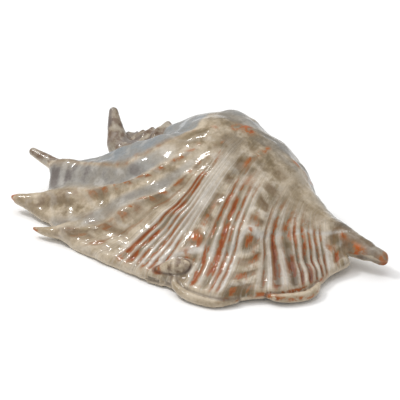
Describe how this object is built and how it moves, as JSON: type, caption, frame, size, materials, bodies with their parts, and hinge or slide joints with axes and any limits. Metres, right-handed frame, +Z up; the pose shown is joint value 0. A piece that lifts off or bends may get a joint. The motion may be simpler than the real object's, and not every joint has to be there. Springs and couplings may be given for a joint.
{
  "type": "spider conch shell",
  "caption": "Glossy spider conch shell with a humped last whorl, low spire, siphonal canal and a ribbed, flared lip with long curved fingers.",
  "frame": {"origin": "on the flat of the last whorl's belly that rests on the table, under the coiling axis", "axes": "+X along the coiling axis from spire to siphonal canal, +Y towards the back of the last whorl, -Y towards the flared lip, +Z up from the table with the opening facing down"},
  "size_m": [0.1899, 0.1033, 0.0545],
  "materials": {
    "polished_shell": "high gloss, cream and khaki with rust-brown grooves and bluish grey shoulder"
  },
  "bodies": {
    "root": {"shell": "polished_shell"}
  },
  "joints": []
}
